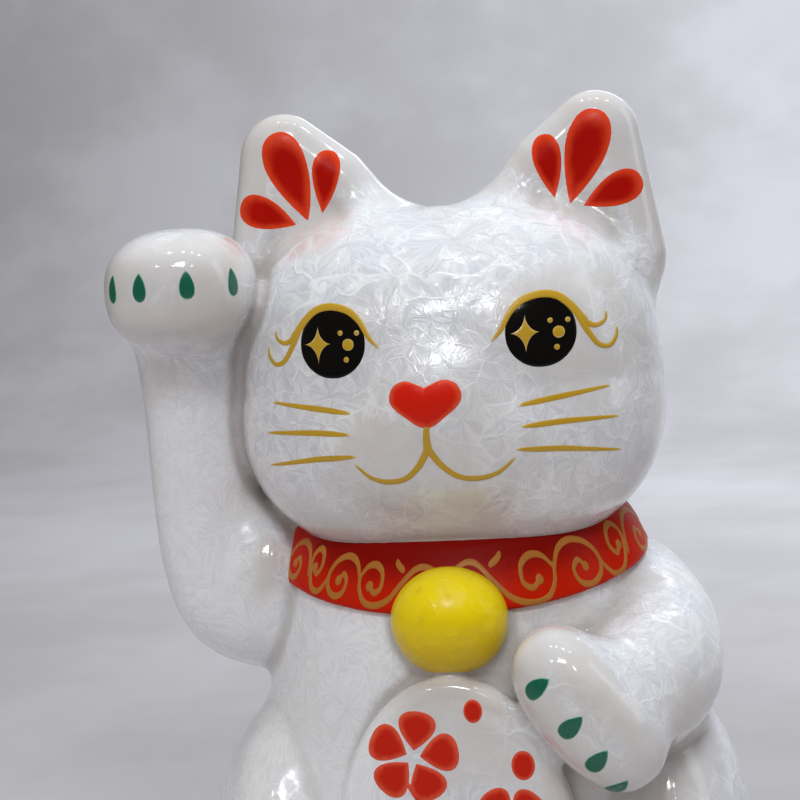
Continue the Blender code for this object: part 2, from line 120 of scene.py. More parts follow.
TAIL = (
    (-16.0, 38.0, 8.5, 9.0),
    (-4.0, 44.0, 9.0, 9.4),
    (10.0, 46.5, 11.5, 9.2),
    (22.0, 44.5, 19.0, 8.6),
    (28.0, 40.5, 29.0, 7.8),
    (28.5, 37.5, 38.0, 6.4),
)
COLLAR_Z, COLLAR_HEIGHT, COLLAR_TILT, COLLAR_PROUD = 109.9, 12.6, 9.0, 1.6
COLLAR_SUNK = 1.5  # how deep the band's back lies in the skin
BELL_CENTRE, BELL_RADII = (0.5, -38.0, 96.4), (12.1, 10.5, 11.1)
BELL_SEAT = 0.4  # how much smaller than the bell the swelling of the skin behind it is
PLAQUE_CENTRE, PLAQUE_HALF = (0.0, -44.6, 47.2), (25.2, 39.0)
PLAQUE_THICKNESS, PLAQUE_TILT = 10.0, -5.0


def smin(a, b, k):
    """The lesser of two distances, blended over k millimetres."""
    h = np.clip(0.5 + 0.5 * (b - a) / k, 0.0, 1.0)
    return b + (a - b) * h - k * h * (1.0 - h)


def smax(a, b, k):
    """The greater of two distances, blended over k millimetres."""
    return -smin(-a, -b, k)


def spline(rows, count):
    """count rows spread evenly along a Catmull-Rom curve through rows."""
    rows = np.asarray(rows, float)
    padded = np.vstack((rows[:1], rows, rows[-1:]))
    along = np.linspace(0.0, len(rows) - 1.0, count)
    i = np.minimum(along.astype(int), len(rows) - 2)
    t = (along - i)[:, None]
    a, b, c, d = (padded[i + k] for k in range(4))
    return 0.5 * (2 * b + (c - a) * t + (2 * a - 5 * b + 4 * c - d) * t**2 + (3 * b - a - 3 * c + d) * t**3)


def cos_sin(degrees):
    return math.cos(math.radians(degrees)), math.sin(math.radians(degrees))


def ellipsoid(p, centre, radii):
    x, y, z = (p[..., i] - centre[i] for i in range(3))
    near = np.sqrt((x / radii[0]) ** 2 + (y / radii[1]) ** 2 + (z / radii[2]) ** 2)
    slope = np.sqrt((x / radii[0] ** 2) ** 2 + (y / radii[1] ** 2) ** 2 + (z / radii[2] ** 2) ** 2)
    return near * (near - 1.0) / np.maximum(slope, 1e-6)


def mitten(p, centre, radii, turn_y=0.0):
    """A slightly boxy ellipsoid, turned about Y by turn_y degrees."""
    x, y, z = (p[..., i] - centre[i] for i in range(3))
    c, s = cos_sin(turn_y)
    share = [np.abs(v) / r + 1e-6 for v, r in zip((x * c - z * s, y, x * s + z * c), radii)]
    near = sum(v**PAW_POWER for v in share) ** (1.0 / PAW_POWER)
    steep = np.sqrt(sum((v ** (PAW_POWER - 1.0) / r) ** 2 for v, r in zip(share, radii)))
    return (near - 1.0) / np.maximum(steep * near ** (1.0 - PAW_POWER), 1e-6)


def near_only(shape, p, low, high, margin=12.0):
    """The shape's distance, worked out only within a margin of its box."""
    close = np.all((p > np.array(low) - margin) & (p < np.array(high) + margin), axis=-1)
    found = np.full(p.shape[:-1], margin)
    if close.any():
        found[close] = shape(p[close])
    return found


def stem(p, rows):
    """Distance from a round limb through rows of x, y, z and radius."""
    rows = np.asarray(rows)
    low, high = (rows[:, :3] - rows[:, 3:]).min(0), (rows[:, :3] + rows[:, 3:]).max(0)
    return near_only(lambda q: limb(q, spline(rows, 24)), p, low, high)


def limb(p, path):
    """Distance from the cones that join the path's rows, one after another."""
    best = np.full(p.shape[:-1], 1e3)
    for a, b in zip(path, path[1:]):
        run = b[:3] - a[:3]
        t = np.clip(((p - a[:3]) @ run) / (run @ run), 0.0, 1.0)
        off = p - a[:3] - t[..., None] * run
        best = np.minimum(best, np.sqrt((off * off).sum(-1)) - (a[3] + t * (b[3] - a[3])))
    return best


def oval(u, v, a, b):
    """Distance from an oval of half sizes a and b about the origin."""
    near = np.sqrt((u / a) ** 2 + (v / b) ** 2) + 1e-6
    slope = np.sqrt((u / a**2) ** 2 + (v / b**2) ** 2) / near + 1e-6
    return (near - 1.0) / slope


def stack(p, rows, inset=0.0):
    """Distance from a stack of ovals: height, half width, half depth, middle in Y."""
    fine = spline(rows, 120)
    order = np.argsort(fine[:, 0])
    z = p[..., 2]
    a, b, m = (np.interp(z, fine[order, 0], fine[order, i]) for i in (1, 2, 3))
    return oval(p[..., 0], p[..., 1] - m, a - inset, b - inset)


def head(p, inset=0.0):
    """A broad boxy ellipsoid with full cheeks and a heavy jaw."""
    x, y, z = (p[..., i] - HEAD_CENTRE[i] for i in range(3))
    a, b, c = (h - inset for h in HEAD_HALF)
    x = x / (1.0 - CHEEK_SWELL * (1.0 - np.cos(np.pi * (z + CHEEK_DROP) / c)))
    far = np.sqrt(x * x + y * y + z * z) + 1e-3
    power = HEAD_DEPTH_POWER + JAW_POWER * np.maximum(-z / far, 0.0)
    front = np.abs(x / a) ** HEAD_FRONT_POWER + np.abs(z / c) ** HEAD_FRONT_POWER
    whole = (front ** (power / HEAD_FRONT_POWER) + np.abs(y / b) ** power + 1e-9) ** (1.0 / power)
    return far * (1.0 - 1.0 / whole)


def slab_2d(x, z, corners):
    """Distance from a filled polygon in the XZ plane, 0 inside it."""
    best = np.full(x.shape, 1e6)
    inside = np.zeros(x.shape, bool)
    for (ax, az), (bx, bz) in zip(corners, corners[1:] + corners[:1]):
        t = np.clip(((x - ax) * (bx - ax) + (z - az) * (bz - az)) / ((bx - ax) ** 2 + (bz - az) ** 2), 0, 1)
        best = np.minimum(best, (x - ax - t * (bx - ax)) ** 2 + (z - az - t * (bz - az)) ** 2)
        crosses = (az > z) != (bz > z)
        inside ^= crosses & (x < (bx - ax) * (z - az) / (bz - az + 1e-9) + ax)
    return np.where(inside, 0.0, np.sqrt(best))


def ear(p, side):
    q = (p - (EAR_SHIFTS[side], 0.0, 0.0)) * (side, 1.0, 1.0)
    return near_only(ear_plate, q, EAR_LOW, EAR_HIGH)


def ear_plate(p):
    """A rounded triangle, thinner towards its tip, with a shallow dish in its front."""
    x, y, z = p[..., 0], p[..., 1], p[..., 2]
    thin = np.interp(z, EAR_HEIGHTS, EAR_HALF_THICK)
    out = slab_2d(x, z, list(EAR_CORNERS))
    plate = np.sqrt(out**2 + ((y - EAR_Y) * EAR_ROUNDING / thin) ** 2) - EAR_ROUNDING
    plate = plate * np.where(out > 4.0, 1.0, thin / EAR_ROUNDING)
    middle = np.mean(EAR_CORNERS, 0)
    small = [tuple(middle + (np.array(c) - middle) * SCOOP_SHRINK) for c in EAR_CORNERS]
    ahead = (y - EAR_Y + SCOOP_SHIFT) * SCOOP_SQUASH
    dish = np.sqrt(slab_2d(x, z, small) ** 2 + ahead**2) - SCOOP_RADIUS
    return smax(plate, -dish, 2.4)


def plaque(p):
    """The oval plaque: an upright plate with softened edges, leaning back a little."""
    c, s = cos_sin(PLAQUE_TILT)
    x, y, z = (p[..., i] - PLAQUE_CENTRE[i] for i in range(3))
    y, z = y * c + z * s, z * c - y * s
    return smax(oval(x, z, *PLAQUE_HALF), np.abs(y) - PLAQUE_THICKNESS / 2, 3.5)


def torso(p):
    body = smax(stack(p, TORSO), p[..., 2] - TORSO_TOP, 3.0)
    return smin(body, ellipsoid(p, CHEST_CENTRE, CHEST_RADII), 9.0)


def raised_arm(p):
    arm = smin(stem(p, RAISED_ARM), mitten(p, *RAISED_PAW), 6.0)
    return smin(arm, ellipsoid(p, *WEB), 9.0)


def lowered_arm(p):
    return smin(stem(p, LOWERED_ARM), mitten(p, *LOWERED_PAW, LOWERED_PAW_TURN), 6.0)


def mirrored(side, centre):
    """A place given for the figure's left, on the side asked for."""
    return side * centre[0], centre[1], centre[2]


def face(p):
    muzzle = smin(*(ellipsoid(p, mirrored(side, MUZZLE_CENTRE), MUZZLE_RADII) for side in (-1, 1)), 2.0)
    bridge = ellipsoid(p, BRIDGE_CENTRE, BRIDGE_RADII)
    return smin(smin(head(p), muzzle, 7.0), bridge, 7.0)


def outside(p):
    """The figure's outer skin, without its collar."""
    body = torso(p)
    for side in (1, -1):
        body = smin(body, ellipsoid(p, HAUNCH_CENTRES[side], HAUNCH_RADII), 4.0)
        body = smin(body, ellipsoid(p, mirrored(side, FOOT_CENTRE), FOOT_RADII), 4.0)
    body = smin(body, stem(p, TAIL), 4.0)
    body = smin(body, plaque(p), 2.0)
    body = smin(body, lowered_arm(p), 4.0)
    top = face(p)
    for side in (-1, 1):
        top = smin(top, ear(p, side), 8.0)
    body = smin(body, top, 2.5)
    body = smin(body, raised_arm(p), 3.2)
    body = smin(body, ellipsoid(p, BELL_CENTRE, [r - BELL_SEAT for r in BELL_RADII]), 2.4)
    return smax(body, -p[..., 2], 2.4)


def casting(p):
    """The whole casting: the skin less its hollow, dished base, stopper hole and coin slot."""
    x, y, z = p[..., 0], p[..., 1], p[..., 2]
    room = smax(stack(p, TORSO, WALL), HOLLOW_FLOOR - z, 6.0)
    room = smax(room, z - HOLLOW_TOP, 2.0)
    room = smin(room, head(p, WALL), 3.0)
    share = np.sqrt((x / DISH_HALF[0]) ** 2 + ((y - DISH_MIDDLE_Y) / DISH_HALF[1]) ** 2)
    dish = smax((share - 1.0) * DISH_SLOPE, z - DISH_DEPTH, 2.0)
    hole = smax(np.hypot(x, y) - HOLE_RADIUS, z - HOLE_TOP, 0.5)
    slot = (np.abs(p - SLOT_CENTRE) - SLOT_HALF).max(-1)
    solid = smax(outside(p), -room, 1.0)
    solid = smax(solid, -dish, 2.0)
    solid = smax(solid, -hole, 0.8)
    return smax(solid, -slot, 1.6)


def collar(p):
    """The band: the neck's own form standing proud, between two tilted planes."""
    c, s = cos_sin(COLLAR_TILT)
    height = (p[..., 2] - COLLAR_Z) * c - p[..., 1] * s
    band = torso(p) - COLLAR_PROUD
    band = smax(band, np.abs(height) - COLLAR_HEIGHT / 2, 1.4)
    return np.maximum(band, -(torso(p) + COLLAR_SUNK))


# ---- meshing a field


def gradient(field, p, h=0.05):
    """The field's slope, from its values at the four corners of a small tetrahedron."""
    corners = np.array(((1, -1, -1), (-1, -1, 1), (-1, 1, -1), (1, 1, 1)), float)
    total = sum(field(p + c * h)[..., None] * c for c in corners)
    return total / (4.0 * h)


def settle(field, p, times):
    """Points moved onto the field's surface."""
    for _ in range(times):
        g = gradient(field, p)
        p = p - np.clip(field(p), -1.0, 1.0)[:, None] * g / np.maximum((g * g).sum(1), 0.2)[:, None]
    return p


def fill_near_surface(field, axes, values, step, block=4):
    """Works the field out at every grid point of the blocks that its surface may cross."""
    starts = [np.arange(0, len(a), block) for a in axes]
    half = (block - 1) * step / 2
    centres = [a[s] + half for a, s in zip(axes, starts)]
    middles = np.stack(np.meshgrid(*centres, indexing="ij"), -1)
    rough = field(middles.reshape(-1, 3)).reshape(middles.shape[:-1])
    spread = rough.repeat(block, 0).repeat(block, 1).repeat(block, 2)
    values[:] = spread[tuple(slice(n) for n in values.shape)]
    chosen = np.argwhere(np.abs(rough) < block * step * 1.5)
    for corner in np.ndindex(block, block, block):
        index = chosen * block + corner
        index = index[np.all(index < values.shape, axis=1)]
        points = np.stack([a[i] for a, i in zip(axes, index.T)], 1)
        values[tuple(index.T)] = field(points)


def nets(field, low, high, step):
    """Surface nets: vertices and quads of the field's zero surface inside a box."""
    axes = [np.arange(a, b + step, step) for a, b in zip(low, high)]
    shape = tuple(len(a) for a in axes)
    values = np.empty(shape, np.float32)
    fill_near_surface(field, axes, values, step)
    inside = values < 0
    count = np.zeros([n - 1 for n in shape], np.int8)
    for dx, dy, dz in np.ndindex(2, 2, 2):
        count += inside[dx : shape[0] - 1 + dx, dy : shape[1] - 1 + dy, dz : shape[2] - 1 + dz]
    cells = np.argwhere((count > 0) & (count < 8))
    number = np.full(count.shape, -1, np.int64)
    number[tuple(cells.T)] = np.arange(len(cells))
    total, hits = np.zeros((len(cells), 3)), np.zeros(len(cells))
    corners = np.array(list(np.ndindex(2, 2, 2)))
    at = [values[tuple((cells + c).T)] for c in corners]
    for m, a in enumerate(corners):
        for n, b in enumerate(corners):
            if n > m and np.abs(a - b).sum() == 1:
                crossing = (at[m] < 0) != (at[n] < 0)
                t = at[m][crossing] / (at[m][crossing] - at[n][crossing])
                total[crossing] += a + t[:, None] * (b - a)
                hits[crossing] += 1
    points = (cells + total / hits[:, None]) * step + np.array([a[0] for a in axes])
    quads = []
    units = np.eye(3, dtype=int)
    for axis in range(3):
        u, v = (axis + 1) % 3, (axis + 2) % 3
        ahead, back_u, back_v = units[axis], units[u], units[v]
        near = inside[tuple(slice(0, n - d) for n, d in zip(shape, ahead))]
        far = inside[tuple(slice(d, n) for n, d in zip(shape, ahead))]
        edges = np.argwhere(near != far)
        edges = edges[(edges[:, u] > 0) & (edges[:, v] > 0)]
        edges = edges[(edges[:, u] < shape[u] - 1) & (edges[:, v] < shape[v] - 1)]
        ring = [edges - back_u - back_v, edges - back_v, edges, edges - back_u]
        quad = np.stack([number[tuple(r.T)] for r in ring], 1)
        flip = ~near[tuple(edges.T)]
        quad[flip] = quad[flip][:, ::-1]
        quads.append(quad)
    return settle(field, points, 2), np.vstack(quads)


def add_object(name, data):
    made = bpy.data.objects.new(name, data)
    bpy.context.scene.collection.objects.link(made)
    return made


def make_object(name, points, faces, material, attributes=None):
    """A smooth-shaded piece from points in millimetres about the centre line, riding on the figurine."""
    mesh = bpy.data.meshes.new(name)
    world = (np.asarray(points) + ORIGIN) * MM
    if isinstance(faces, np.ndarray):
        mesh.vertices.add(len(world))
        mesh.vertices.foreach_set("co", world.astype(np.float32).ravel())
        size = faces.shape[1]
        mesh.loops.add(faces.size)
        mesh.loops.foreach_set("vertex_index", faces.astype(np.int32).ravel())
        mesh.polygons.add(len(faces))
        mesh.polygons.foreach_set("loop_start", np.arange(0, faces.size, size, dtype=np.int32))
        mesh.update(calc_edges=True)
    else:
        mesh.from_pydata(world.tolist(), [], faces)
    for key, values in (attributes or {}).items():
        layer = mesh.attributes.new(key, "FLOAT", "POINT")
        layer.data.foreach_set("value", np.asarray(values, np.float32))
    mesh.shade_smooth()
    mesh.materials.append(material)
    made = add_object(name, mesh)
    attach(made, "figurine")
    return made


# ---- paint: thin enamel shapes laid on the skin
RAY_START = -66.0  # in front of the whole figure
COLLAR_RAY_START = 62.0  # outside the band, from the centre line
EDGE_SUNK = 0.05  # how deep the rim of a painted shape lies in the skin
ABRUPT = 0.001  # as the share of a stroke that thins, an end that doesn't thin


def march(field, origins, ways):
    """The points where rays first meet the field's surface, each step a little short of the field's value."""
    ways = ways / np.linalg.norm(ways, axis=1, keepdims=True)
    run = np.zeros(len(origins))
    moving = np.arange(len(origins))
    for _ in range(80):
        gap = field(origins[moving] + ways[moving] * run[moving, None])
        run[moving] += 0.88 * gap
        moving = moving[np.abs(gap) > 0.002]
        if not len(moving):
            break
    return origins + ways * run[:, None]


def from_front(points):
    """Rays to places given as x, z, seen straight from the front of the figure."""
    origins = np.stack((points[:, 0], np.full(len(points), RAY_START), points[:, 1]), 1)
    return origins, np.tile((0.0, 1.0, 0.0), (len(points), 1))


def round_collar(points):
    """Rays to places given as degrees round the neck from the front and millimetres up the band."""
    c, s = cos_sin(COLLAR_TILT)
    angle, up = np.radians(points[:, 0]), points[:, 1]
    x, y = COLLAR_RAY_START * np.sin(angle), -COLLAR_RAY_START * np.cos(angle)
    origins = np.stack((x, y, COLLAR_Z + (up + y * s) / c), 1)
    return origins, np.stack((-np.sin(angle), np.cos(angle), np.cos(angle) * s / c), 1)


def at_spot(place, turn=0.0):
    """A flat patch laid against the skin at the point nearest to place, its v axis turned from up."""
    spot = settle(outside, np.array([place], float), 6)
    out = gradient(outside, spot)[0]
    out /= np.linalg.norm(out)
    up = np.array((0.0, 0.0, 1.0)) - out * out[2]
    up /= np.linalg.norm(up)
    side = np.cross(up, out)
    c, s = cos_sin(turn)
    u, v = side * c - up * s, side * s + up * c

    def project(points):
        origins = spot + out * 6.0 + points[:, :1] * u + points[:, 1:] * v
        return origins, np.tile(-out, (len(points), 1))

    return project


class Paint:
    """Collects shapes of one enamel, with how thick the colour lies at each point, from 0 at an edge to 1."""

    def __init__(self):
        self.rays, self.faces, self.load, self.lift = [], [], [], []
        self.count = 0

    def add(self, flat, quads, load, lift, project):
        self.rays.append(project(flat))
        self.faces.append(quads + self.count)
        self.load.append(load)
        self.lift.append(lift)
        self.count += len(flat)

    def blob(self, outline, project, thick=0.16, rings=7, core=0.0, power=8.0):
        """A filled shape, every point of whose outline can be seen from its middle."""
        outline = np.asarray(outline, float)
        middle = outline.mean(0)
        n = len(outline)
        share = np.append(np.linspace(0.04, 0.9, rings - 1), (0.97, 1.0))
        flat = np.vstack([middle + (outline - middle) * s for s in share])
        depth = np.repeat(share, n)
        lift = thick * (1.0 - depth**power) - EDGE_SUNK * (depth == 1.0)
        load = np.clip((1.0 - depth) / max(1.0 - core, 0.05), 0.0, 1.0)
        i, j = np.meshgrid(np.arange(len(share) - 1), np.arange(n), indexing="ij")
        a, b = (i * n + j).ravel(), (i * n + (j + 1) % n).ravel()
        quads = np.stack((a, b, b + n, a + n), 1)
        cap = [(k, n - 1 - k, n - 2 - k, k + 1) for k in range(n // 2 - 1)]
        self.add(flat, np.vstack((quads, cap)), load, lift, project)

    def stroke(self, path, widths, project, thick=0.14, count=48, fade=(0.25, 0.25)):
        """A brush line with widths at evenly spread places. fade is the share that thins at each end."""
        line = spline(path, count)
        t = np.linspace(0.0, 1.0, count)
        wide = np.interp(t, np.linspace(0.0, 1.0, len(widths)), widths) / 2
        wide = wide * np.clip(np.sqrt(np.minimum(t, 1.0 - t) * count / 3.0) + 0.12, 0.0, 1.0)
        run = np.gradient(line, axis=0)
        run /= np.linalg.norm(run, axis=1, keepdims=True) + 1e-9
        across = np.stack((-run[:, 1], run[:, 0]), 1)
        rows = np.array((-1.0, -0.86, -0.5, 0.0, 0.5, 0.86, 1.0))
        flat = (line[:, None] + across[:, None] * (rows[None, :] * wide[:, None])[..., None]).reshape(-1, 2)
        depth = np.tile(np.abs(rows), count)
        tip = np.repeat((t == 0) | (t == 1), len(rows))
        lift = np.where(tip | (depth == 1.0), -EDGE_SUNK, thick * (1.0 - 0.6 * depth**4))
        ends = np.repeat(np.clip(np.minimum(t / fade[0], (1.0 - t) / fade[1]), 0.0, 1.0), len(rows))
        load = ends * (1.0 - 0.5 * depth**2)
        i, j = np.meshgrid(np.arange(count - 1), np.arange(len(rows) - 1), indexing="ij")
        a = (i * len(rows) + j).ravel()
        quads = np.stack((a, a + len(rows), a + len(rows) + 1, a + 1), 1)
        self.add(flat, quads, load, lift, project)

    def build(self, name, material, field=outside):
        """One piece from all the shapes, laid on the field's surface."""
        origins, ways = (np.vstack(part) for part in zip(*self.rays))
        points = march(field, origins, ways)
        normal = gradient(field, points)
        normal /= np.linalg.norm(normal, axis=1, keepdims=True)
        points = points + normal * np.concatenate(self.lift)[:, None]
        return make_object(name, points, np.vstack(self.faces), material, {"load": np.concatenate(self.load)})


def turned(outline, degrees):
    c, s = cos_sin(degrees)
    return np.stack((outline[:, 0] * c - outline[:, 1] * s, outline[:, 0] * s + outline[:, 1] * c), 1)


def superoval(half_w, half_h, power=2.0, count=64):
    """An oval, squarer as its power rises above 2 and a hollow-sided star where it is under 1."""
    a = np.linspace(0.0, 2 * np.pi, count, endpoint=False)
    c, s = np.cos(a), np.sin(a)
    x, y = np.sign(c) * np.abs(c) ** (2 / power), np.sign(s) * np.abs(s) ** (2 / power)
    return np.stack((x * half_w, y * half_h), 1)


def drop(length, width, point=0.5, count=48):
    """A teardrop with its tip at (0, length) and its round end at (0, 0). A smaller point blunts the tip."""
    a = np.linspace(0.0, 2 * np.pi, count, endpoint=False) - np.pi / 2
    rise = (1.0 + np.sin(a)) / 2
    wide = np.cos(a) * np.maximum(np.cos(rise * np.pi / 2), 0.0) ** point * 0.57
    return np.stack((wide * width, rise**1.15 * length), 1)


def between(outline, start, end):
    """A drop laid with its point at start and its round end at end."""
    start, end = np.array(start, float), np.array(end, float)
    way = start - end
    angle = math.degrees(math.atan2(way[1], way[0])) - 90.0
    return turned(outline, angle) + end


def star(up, down, side):
    """A four-pointed spark with hollow sides."""
    outline = superoval(side, 1.0, 2 / 3.4, 48)
    outline[:, 1] *= np.where(outline[:, 1] > 0, up, down)
    return outline


def heart(half_w, half_h):
    """A broad heart with round lobes, a shallow notch and a blunt point."""
    lobe = ((0.0, 0.70), (0.26, 0.88), (0.55, 1.0), (0.84, 0.84), (0.99, 0.46))
    flank = ((0.97, 0.10), (0.80, -0.22), (0.54, -0.52), (0.26, -0.84), (0.0, -1.0))
    side = spline(lobe + flank, 37)
    whole = np.vstack((side, side[-2:0:-1] * (-1.0, 1.0)))
    return whole * (half_w, half_h)


# ---- materials


class Nodes:
    """A material's node tree, with short calls that add and join nodes."""

    def __init__(self, name):
        self.material = bpy.data.materials.new(name)
        self.material.use_nodes = True
        self.tree = self.material.node_tree
        self.shader = self.tree.nodes["Principled BSDF"]

    def set(self, node, values):
        for key, value in values.items():
            socket = node.inputs[key]
            if isinstance(value, bpy.types.NodeSocket):
                self.tree.links.new(value, socket)
            else:
                socket.default_value = value

    def add(self, kind, values=None, **settings):
        node = self.tree.nodes.new("ShaderNode" + kind)
        for key, value in settings.items():
            setattr(node, key, value)
        self.set(node, values or {})
        return node

    def math(self, operation, a, b=0.0):
        return self.add("Math", {0: a, 1: b}, operation=operation).outputs[0]

    def total(self, *values):
        return reduce(lambda a, b: self.math("ADD", a, b), values)

    def product(self, *values):
        return reduce(lambda a, b: self.math("MULTIPLY", a, b), values)

    def vector(self, operation, a, b=(0.0, 0.0, 0.0)):
        node = self.add("VectorMath", {0: a, 1: b}, operation=operation)
        return node.outputs["Value" if operation in ("LENGTH", "DOT_PRODUCT") else "Vector"]

    def scaled(self, a, by):
        return self.add("VectorMath", {0: a, "Scale": by}, operation="SCALE").outputs["Vector"]

    def ramp(self, value, low, high, start=0.0, end=1.0, smooth=True):
        kind = "SMOOTHSTEP" if smooth else "LINEAR"
        values = {"Value": value, "From Min": low, "From Max": high, "To Min": start, "To Max": end}
        return self.add("MapRange", values, interpolation_type=kind).outputs["Result"]

    def mix(self, share, a, b):
        """Colour a where share is 0, and b where it is 1."""
        return self.add("Mix", {0: share, 6: a, 7: b}, data_type="RGBA").outputs[2]

    def noise(self, vector, scale, detail=2.0, roughness=0.5):
        values = {"Vector": vector, "Scale": scale, "Detail": detail, "Roughness": roughness}
        return self.add("TexNoise", values).outputs["Fac"]

    def attribute(self, name):
        return self.add("Attribute", attribute_name=name).outputs["Fac"]

    def place(self):
        """Object coordinates in millimetres."""
        return self.scaled(self.add("TexCoord").outputs["Object"], 1.0 / MM)

    def bump(self, height_mm):
        """Relief from a height in millimetres."""
        values = {"Height": self.product(height_mm, MM), "Distance": 1.0, "Strength": 1.0}
        return self.add("Bump", values).outputs["Normal"]


def rgb(*values):
    return (*values, 1.0)


CRYSTAL_SIZES = (14.0, 8.0)  # millimetres from seed to seed in coarse and in fine colonies


def crystals(n, place):
    """Colonies of crystals: fans of needles round scattered seeds, with scalloped edges between them."""
    colony = n.math("GREATER_THAN", n.noise(place, 0.05, 2.0), 0.5)
    spread = n.add("TexNoise", {"Vector": place, "Scale": 0.10, "Detail": 2.0}).outputs["Color"]
    bent = n.vector("ADD", place, n.scaled(n.vector("SUBTRACT", spread, (0.5, 0.5, 0.5)), 9.0))
    coarse, fine = (1.0 / size for size in CRYSTAL_SIZES)
    unit = n.scaled(bent, n.ramp(colony, 0.0, 1.0, coarse, fine, smooth=False))
    seeds = {"Vector": unit, "Scale": 1.0, "Randomness": 1.0}
    cell = n.add("TexVoronoi", seeds, feature="F1")
    edge = n.add("TexVoronoi", seeds, feature="DISTANCE_TO_EDGE")
    away = n.vector("SUBTRACT", unit, cell.outputs["Position"])
    normal = n.add("NewGeometry").outputs["Normal"]
    flat = n.vector("SUBTRACT", away, n.scaled(normal, n.vector("DOT_PRODUCT", away, normal)))
    way = n.vector("NORMALIZE", flat)
    kind = n.scaled(cell.outputs["Color"], 40.0)
    drift = n.vector("ADD", kind, n.scaled(place, 0.06))
    needles = n.noise(n.vector("ADD", n.scaled(way, 9.0), drift), 1.0, 3.0, 0.6)
    fans = n.noise(n.vector("ADD", n.scaled(way, 1.6), kind), 1.0, 1.0)
    along = n.total(n.product(n.vector("LENGTH", flat), 6.0), n.product(fans, 3.0))
    rings = n.math("SINE", n.product(along, math.pi))
    border = n.total(edge.outputs["Distance"], n.product(n.math("SUBTRACT", needles, 0.5), 0.05))
    return {
        "needle": n.ramp(needles, 0.40, 0.62),
        "fan": n.ramp(fans, 0.38, 0.62),
        "ring": n.product(n.ramp(rings, 0.80, 1.0), n.ramp(fans, 0.45, 0.6)),
        "line": n.ramp(border, 0.004, 0.034, 1.0, 0.0),
    }


def white_glaze():
    """White crystalline glaze over porcelain, left off the foot ring.

    Fewer crystals grow where it runs thin over outward curves. Painted shade darkens it in the creases, where
    the glaze also pools, and painted light with a frost of crystals whitens the raised arm and the belly and
    haunch below it.
    """
    n = Nodes("crystal_glaze")
    place = n.place()
    side, _, height = n.add("SeparateXYZ", {0: place}).outputs
    found = crystals(n, place)
    patches = n.ramp(n.noise(n.vector("ADD", place, (31.0, 7.0, 3.0)), 0.035, 2.0), 0.38, 0.54, 0.15, 1.0)
    grown = n.product(patches, n.ramp(n.attribute("thin"), 0.25, 0.75, 1.0, 0.05))
    cloud = n.noise(place, 0.06, 3.0, 0.6)
    clear = n.mix(n.ramp(cloud, 0.3, 0.7), rgb(0.70, 0.66, 0.625), rgb(0.73, 0.715, 0.71))
    dark = n.mix(n.ramp(cloud, 0.35, 0.65), rgb(0.69, 0.685, 0.69), rgb(0.65, 0.68, 0.74))
    needle, fan, ring, line = (found[key] for key in ("needle", "fan", "ring", "line"))
    streak = n.total(n.product(needle, 0.5), n.product(fan, 0.4), n.product(ring, 0.5))
    colour = n.mix(n.product(grown, 0.85), clear, n.mix(streak, dark, rgb(0.93, 0.94, 0.96)))
    # a frost of crystals and painted light: the raised arm and the belly and haunch below it are mixed
    # towards a cool white
    arm = n.product(n.ramp(side, -36.0, -46.0), n.ramp(height, 152.0, 138.0))
    belly = n.product(n.ramp(side, 0.0, -14.0), n.ramp(height, 103.0, 92.0))
    frost_and_painted_light = n.product(n.math("MAXIMUM", arm, belly), n.ramp(needle, 0.0, 1.0, 0.65, 0.95))
    colour = n.mix(frost_and_painted_light, colour, rgb(0.96, 0.975, 1.0))
    colour = n.mix(n.product(line, grown, 0.5), colour, rgb(0.96, 0.965, 0.98))
    # painted shade: creases are mixed towards a warm grey, standing for shade there and for glaze that pools
    # in them
    colour = n.mix(n.product(n.attribute("painted_crease_shade"), 0.75), colour, rgb(0.44, 0.40, 0.37))
    bare = n.ramp(n.total(height, n.product(cloud, 0.8)), 0.7, 1.3, 1.0, 0.0)
    grit = n.noise(place, 3.5, 2.0)
    bisque = n.mix(grit, rgb(0.56, 0.50, 0.42), rgb(0.70, 0.65, 0.57))
    n.set(n.shader, {"Base Color": n.mix(bare, colour, bisque), "IOR": 1.52, "Coat IOR": 1.5})
    n.set(n.shader, {"Coat Weight": 0.6, "Coat Roughness": 0.04})
    n.set(n.shader, {"Roughness": n.total(0.12, n.product(streak, grown, 0.10), n.product(bare, 0.7))})
    crust = n.total(n.product(line, 0.05), n.product(ring, 0.03), n.product(needle, 0.022))
    crust = n.total(crust, n.product(n.noise(place, 0.8, 2.0, 0.6), 0.05))
    waves = n.product(n.noise(place, 0.14, 1.0), 0.26)
    relief = n.bump(n.total(waves, n.product(grown, crust), n.product(bare, grit, 0.06)))
    n.set(n.shader, {"Normal": relief, "Coat Normal": relief})
    return n.material


